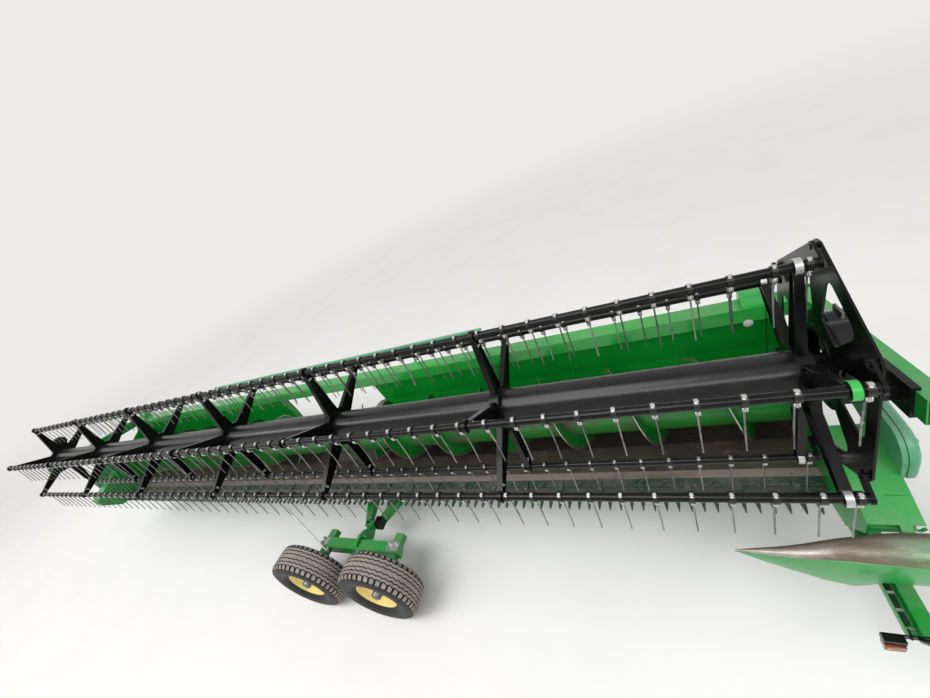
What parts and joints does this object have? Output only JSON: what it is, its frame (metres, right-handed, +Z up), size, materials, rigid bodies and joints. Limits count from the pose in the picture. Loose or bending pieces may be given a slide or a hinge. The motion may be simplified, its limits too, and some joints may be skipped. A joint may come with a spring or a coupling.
{
  "type": "combine grain header on its tandem-axle transport trailer",
  "caption": "Wide green grain header with pick-up reel, tined bats, cross auger and cutterbar, carried lengthwise on a low trailer with paired wheels, drawbar and light bar.",
  "frame": {"origin": "On the ground, in the middle of the bounding box seen from above; the trailer's centreline is Y = 0.", "axes": "+X along the cut toward the trailer's rear light bar, -Y the side of the cutterbar and reel, +Z up."},
  "size_m": [11.788, 2.384, 2.4424],
  "materials": {
    "painted_green": "gloss, dusty, chipped at the edges",
    "light_green": "moulded cover, satin",
    "worn_steel": "bare from the crop, brown with surface rust",
    "strip_metal": "bare strip, pinkish film of dust",
    "dark_green": "weathered dark green paint",
    "blade_steel": "hardened and oiled",
    "black_paint": "satin black paint",
    "rod_steel": "ground and plated",
    "spring_steel": "bright drawn wire with tarnish",
    "lamp_lens": "moulded amber and red lens",
    "tyre_rubber": "dusty tread",
    "cream_paint": "cream paint with grime"
  },
  "bodies": {
    "platform": {"back_sheet": "painted_green", "top_beam": "painted_green", "under_frame": "painted_green", "rear_frame": "painted_green", "rear_rail": "light_green", "trough": "worn_steel", "wear_strip": "strip_metal", "cutterbar": "dark_green", "hold_downs": "dark_green", "end_sheets": "painted_green", "drive_covers": "light_green", "arm_brackets": "painted_green", "cross_shaft": "black_paint", "main_beam": "painted_green", "cross_axle": "painted_green", "walking_beams": "painted_green", "header_rests": "painted_green", "drawbar": "painted_green", "jack": "black_paint", "light_bar": "painted_green", "lamps": "lamp_lens", "divider": "painted_green"},
    "knife_bar": {"knife": "blade_steel"},
    "auger": {"auger_tube": "worn_steel", "auger_flights": "worn_steel"},
    "arms": {"reel_arms": "painted_green"},
    "cylinders": {"lift_barrels": "black_paint"},
    "rods": {"lift_rods": "rod_steel"},
    "carriers": {"reel_carriers": "black_paint"},
    "reel": {"reel_tube": "black_paint", "reel_spiders": "black_paint"},
    "star": {"pitch_star": "black_paint"},
    "tined_bat_1": {"bat_1": "dark_green", "tines_1": "spring_steel"},
    "tined_bat_2": {"bat_2": "dark_green", "tines_2": "spring_steel"},
    "tined_bat_3": {"bat_3": "dark_green", "tines_3": "spring_steel"},
    "tined_bat_4": {"bat_4": "dark_green", "tines_4": "spring_steel"},
    "tined_bat_5": {"bat_5": "dark_green", "tines_5": "spring_steel"},
    "tined_bat_6": {"bat_6": "dark_green", "tines_6": "spring_steel"},
    "wheel_1": {"tyre_1": "tyre_rubber", "rim_1": "cream_paint"},
    "wheel_2": {"tyre_2": "tyre_rubber", "rim_2": "cream_paint"},
    "wheel_3": {"tyre_3": "tyre_rubber", "rim_3": "cream_paint"},
    "wheel_4": {"tyre_4": "tyre_rubber", "rim_4": "cream_paint"}
  },
  "joints": [
    {"name": "knife_stroke", "type": "slide", "parent": "platform", "child": "knife_bar", "axis": [1, 0, 0], "range_m": [-0.038, 0.038]},
    {"name": "auger_spin", "type": "hinge", "parent": "platform", "child": "auger", "pos_m": [0.465, 0.285, 0.994], "axis": [1, 0, 0], "continuous": true},
    {"name": "arm_lift", "type": "hinge", "parent": "platform", "child": "arms", "pos_m": [0.465, 0.7, 1.5], "axis": [-1, 0, 0], "range_deg": [-8, 20]},
    {"name": "cylinder_swing", "type": "hinge", "parent": "platform", "child": "cylinders", "pos_m": [0.465, 0.38, 0.93], "axis": [-1, 0, 0], "range_deg": [-3.2, 7.8]},
    {"name": "rod_stroke", "type": "slide", "parent": "cylinders", "child": "rods", "axis": [0, -0.4011, 0.916], "range_m": [-0.075, 0.18]},
    {"name": "reel_reach", "type": "slide", "parent": "arms", "child": "carriers", "axis": [0, -0.987, 0.1609], "range_m": [0, 0.15]},
    {"name": "reel_spin", "type": "hinge", "parent": "carriers", "child": "reel", "pos_m": [0.465, -0.5, 1.85], "axis": [1, 0, 0], "continuous": true},
    {"name": "star_spin", "type": "hinge", "parent": "carriers", "child": "star", "pos_m": [4.898, -0.425, 1.885], "axis": [1, 0, 0], "continuous": true},
    {"name": "bat_level_1", "type": "hinge", "parent": "reel", "child": "tined_bat_1", "pos_m": [0.465, -0.45896, 2.38342], "axis": [1, 0, 0], "continuous": true},
    {"name": "bat_level_2", "type": "hinge", "parent": "reel", "child": "tined_bat_2", "pos_m": [0.465, -0.01752, 2.08117], "axis": [1, 0, 0], "continuous": true},
    {"name": "bat_level_3", "type": "hinge", "parent": "reel", "child": "tined_bat_3", "pos_m": [0.465, -0.05856, 1.54774], "axis": [1, 0, 0], "continuous": true},
    {"name": "bat_level_4", "type": "hinge", "parent": "reel", "child": "tined_bat_4", "pos_m": [0.465, -0.54104, 1.31658], "axis": [1, 0, 0], "continuous": true},
    {"name": "bat_level_5", "type": "hinge", "parent": "reel", "child": "tined_bat_5", "pos_m": [0.465, -0.98248, 1.61883], "axis": [1, 0, 0], "continuous": true},
    {"name": "bat_level_6", "type": "hinge", "parent": "reel", "child": "tined_bat_6", "pos_m": [0.465, -0.94144, 2.15226], "axis": [1, 0, 0], "continuous": true},
    {"name": "wheel_spin_1", "type": "hinge", "parent": "platform", "child": "wheel_1", "pos_m": [0.775, -1.06, 0.38], "axis": [0, 1, 0], "continuous": true},
    {"name": "wheel_spin_2", "type": "hinge", "parent": "platform", "child": "wheel_2", "pos_m": [1.685, -1.06, 0.38], "axis": [0, 1, 0], "continuous": true},
    {"name": "wheel_spin_3", "type": "hinge", "parent": "platform", "child": "wheel_3", "pos_m": [0.775, 1.06, 0.38], "axis": [0, 1, 0], "continuous": true},
    {"name": "wheel_spin_4", "type": "hinge", "parent": "platform", "child": "wheel_4", "pos_m": [1.685, 1.06, 0.38], "axis": [0, 1, 0], "continuous": true}
  ],
  "couplings": [
    {"joint": "cylinder_swing", "follows": "arm_lift", "ratio": 0.385},
    {"joint": "rod_stroke", "follows": "arm_lift", "m_per_rad": 0.506},
    {"joint": "star_spin", "follows": "reel_spin", "ratio": 1},
    {"joint": "bat_level_1", "follows": "reel_spin", "ratio": -1},
    {"joint": "bat_level_2", "follows": "reel_spin", "ratio": -1},
    {"joint": "bat_level_3", "follows": "reel_spin", "ratio": -1},
    {"joint": "bat_level_4", "follows": "reel_spin", "ratio": -1},
    {"joint": "bat_level_5", "follows": "reel_spin", "ratio": -1},
    {"joint": "bat_level_6", "follows": "reel_spin", "ratio": -1}
  ]
}
